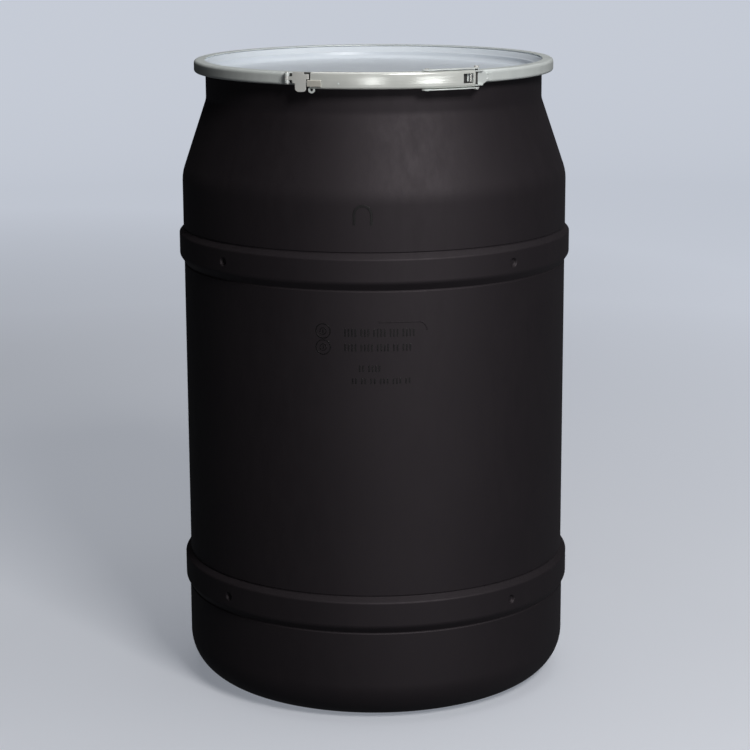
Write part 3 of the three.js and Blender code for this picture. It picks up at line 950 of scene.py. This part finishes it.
def latch_leaf():
    """The hinge's leaf on the ring, with a step up behind the lever's end. It is near-black as
    painted shade, so the slot above the latch plate and the gap by the lever's end read dark.
    """
    floor = 900
    section = Section([(RING_R + 1.0, floor), (RING_R + 1.0, floor + 40)], 0)
    left, step_left, step_right, right = -26.6 * arc, -22.6 * arc, -20.4 * arc, -18.3 * arc
    outline = corner_cut([
        (left, 12),
        (step_right, 12),
        (step_right, 15.6),
        (right, 15.6),
        (right, 26.8),
        (step_left, 26.8),
        (step_left, 25),
        (left, 25),
    ], 0.9)
    return formed("latch_leaf", [outline], section, MID, 1.4, SHADE_DARK_STEEL)


def latch_pieces():
    third = (LATCH_HIGH - LATCH_LOW) / 3
    leaf = latch_leaf()
    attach(leaf, "ring_left")
    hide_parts("latch_base")
    knuckle("latch_knuckle_low", LATCH_LOW, LATCH_LOW + third - 0.3, "ring_left")
    knuckle("latch_knuckle_high", LATCH_HIGH - third + 0.3, LATCH_HIGH, "ring_left")
    floor = 895
    section = Section([(MID, floor), (MID, floor + 40)], 0)
    left, right, tab, half = LATCH_FROM * arc, LATCH_TO * arc, -21.7 * arc, 8.2
    arm, lower_right, notch = -26.1 * arc, -19.95 * arc, right - 7
    corners = [
        (left, 911.9, 1.2),
        (tab - half, 911.9, 0.8),
        (tab - half, 900.4, 5.2),
        (tab + half, 900.4, 5.2),
        (tab + half, 911.9, 0.8),
        (lower_right, 912.4, 0.6),
        (lower_right, 917.6, 0.6),
        (right, 917.6, 0.8),
        (right, 924.6, 0.6),
        (notch, 924.6, 0.6),
        (notch, 927.2, 0.8),
        (left, 927.2, 1.6),
        (left, 921.2, 0.6),
        (arm, 920.6, 0.3),
        (arm, 916.4, 0.3),
        (left, 915.8, 0.6),
    ]
    outline = corner_cut([(x, z - floor, r) for x, z, r in corners], 0.8)
    plate = formed(
        "latch_plate", [outline], section, MID, 1.6, LATCH_STEEL, edge=0.4
    )
    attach(plate, "latch")
    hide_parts("latch")
    knuckle("latch_knuckle_middle", LATCH_LOW + third, LATCH_HIGH - third, "latch", LATCH_STEEL)


latch_pieces()


# ---------- floor, backdrop and light ----------
def stage_floor():
    """A pale floor that sweeps up into a round backdrop, out of the object's reflections. It glows as
    painted light, dimmer close to the drum, with a painted shadow to the left and behind it.
    """
    material, tree, shader = new_material("stage_paper")
    colour = tint(tree, noise(tree, 1.5, 2), (0.60, 0.615, 0.66), (0.62, 0.635, 0.675))
    tree.links.new(colour, shader.inputs["Base Color"])
    shader.inputs["Roughness"].default_value = 0.9
    shader.inputs["Specular IOR Level"].default_value = 0.1
    # Painted light: the floor glows, weakly close to the drum and more strongly further away.
    shader.inputs["Emission Color"].default_value = (0.572, 0.612, 0.692, 1)
    place = tree.nodes.new("ShaderNodeTexCoord")
    far = distance(tree, place.outputs["Object"], (0, 0, 0))
    near = ramp(tree, far, 0.6, 3.0, 0.36, 0.78)
    glow = math_node(tree, "ADD", near, ramp(tree, far, 3.0, 6.5, 0, 0.08))
    # Painted shadow: the glow is dimmed round a point to the left of and behind the drum, where its
    # cast shadow falls.
    shade = ramp(tree, distance(tree, place.outputs["Object"], (-1.2, 2.2, 0)), 0.3, 2.6, 0.62, 1)
    tree.links.new(math_node(tree, "MULTIPLY", glow, shade), shader.inputs["Emission Strength"])
    flat, bend, floor, top = 5500, 1600, -0.5, 6500
    turn = [math.pi / 2 * i / 16 for i in range(17)]
    line = [(r, floor) for r in (0, 700, 1600, 3200)]
    line += [(flat + bend * math.sin(a), floor + bend - bend * math.cos(a)) for a in turn]
    line += [(flat + bend, top)]
    bm = bmesh.new()
    rings = []
    count = 96
    for r, z in line:
        if r == 0:
            rings.append([bm.verts.new((0, 0, z * MM))] * count)
            continue
        around = [polar(r, 360 * i / count) for i in range(count)]
        rings.append([bm.verts.new((x * MM, y * MM, z * MM)) for x, y in around])
    for low, high in zip(rings, rings[1:]):
        for i in range(count):
            j = (i + 1) % count
            bm.faces.new(list(dict.fromkeys((low[i], low[j], high[j], high[i]))))
    mesh = bpy.data.meshes.new("stage_sweep")
    bm.to_mesh(mesh)
    bm.free()
    mesh.materials.append(material)
    for polygon in mesh.polygons:
        polygon.use_smooth = True
    sweep = bpy.data.objects.new("stage_sweep", mesh)
    bpy.context.scene.collection.objects.link(sweep)
    sweep.visible_glossy = False
    sweep.visible_diffuse = False


def area_light(name, place, target, size, power, colour=(1, 1, 1)):
    data = bpy.data.lights.new(name, "AREA")
    data.shape = "RECTANGLE"
    data.size, data.size_y = size
    data.energy = power
    data.color = colour
    light = bpy.data.objects.new(name, data)
    light.location = place
    light.rotation_euler = (Vector(target) - Vector(place)).to_track_quat("-Z", "Y").to_euler()
    light.visible_camera = False
    bpy.context.scene.collection.objects.link(light)


def make_light():
    world = bpy.data.worlds.new("studio")
    world.use_nodes = True
    tree = world.node_tree
    place = tree.nodes.new("ShaderNodeTexCoord")
    split = tree.nodes.new("ShaderNodeSeparateXYZ")
    tree.links.new(place.outputs["Generated"], split.inputs["Vector"])
    side = ramp(tree, split.outputs["X"], -0.2, 0.7, 0.006, 0.06)
    below = ramp(tree, split.outputs["Z"], 0.0, -0.25, 0, 0.05)
    path = tree.nodes.new("ShaderNodeLightPath")
    floor = math_node(tree, "MULTIPLY", below, path.outputs["Is Glossy Ray"])
    strength = math_node(tree, "ADD", side, floor)
    background = tree.nodes["Background"]
    background.inputs["Color"].default_value = (0.85, 0.92, 1.0, 1)
    tree.links.new(strength, background.inputs["Strength"])
    bpy.context.scene.world = world
    area_light("key", (1.3, -2.95, 2.75), (0, 0, 0.6), (1.15, 1.0), 84, (1, 0.985, 0.96))
    area_light("overhead", (0.3, 0.3, 3.2), (0, 0, 0.6), (2.4, 2.4), 27)
    area_light("strip_front", (-0.05, -3.3, 0.64), (0, 0, 0.9), (0.42, 0.08), 5)
    area_light("strip_right", (1.85, -2.75, 0.6), (0, 0, 0.9), (0.9, 0.12), 7.5)


stage_floor()
make_light()
bpy.context.scene.view_settings.view_transform = "Standard"
